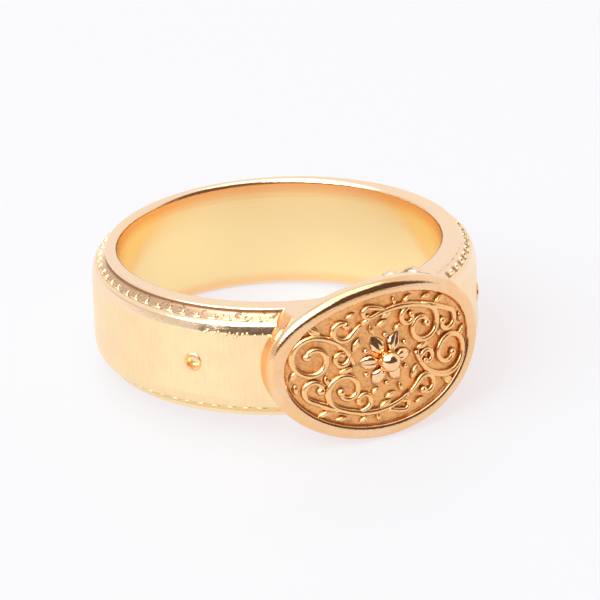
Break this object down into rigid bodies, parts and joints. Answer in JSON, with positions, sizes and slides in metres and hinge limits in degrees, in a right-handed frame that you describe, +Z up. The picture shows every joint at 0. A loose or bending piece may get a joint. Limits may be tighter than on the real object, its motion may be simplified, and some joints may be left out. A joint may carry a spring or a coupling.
{
  "type": "belt ring",
  "caption": "Gold finger ring shaped as a stitched belt, with a bent oval plate at the front that carries raised scrollwork, a rosette and a domed boss.",
  "frame": {"origin": "centre of the bottom of the bounding box, on the surface that the ring lies on", "axes": "+Z up, -Y towards the oval plate, +X to the right of someone who faces the plate. The ring lies on its side, so its finger hole runs 4.0 degrees off +Z, tilted to +Y."},
  "size_m": [0.022, 0.0238, 0.0095],
  "materials": {
    "gold": null
  },
  "bodies": {
    "root": {"belt_ring": "gold"}
  },
  "joints": []
}
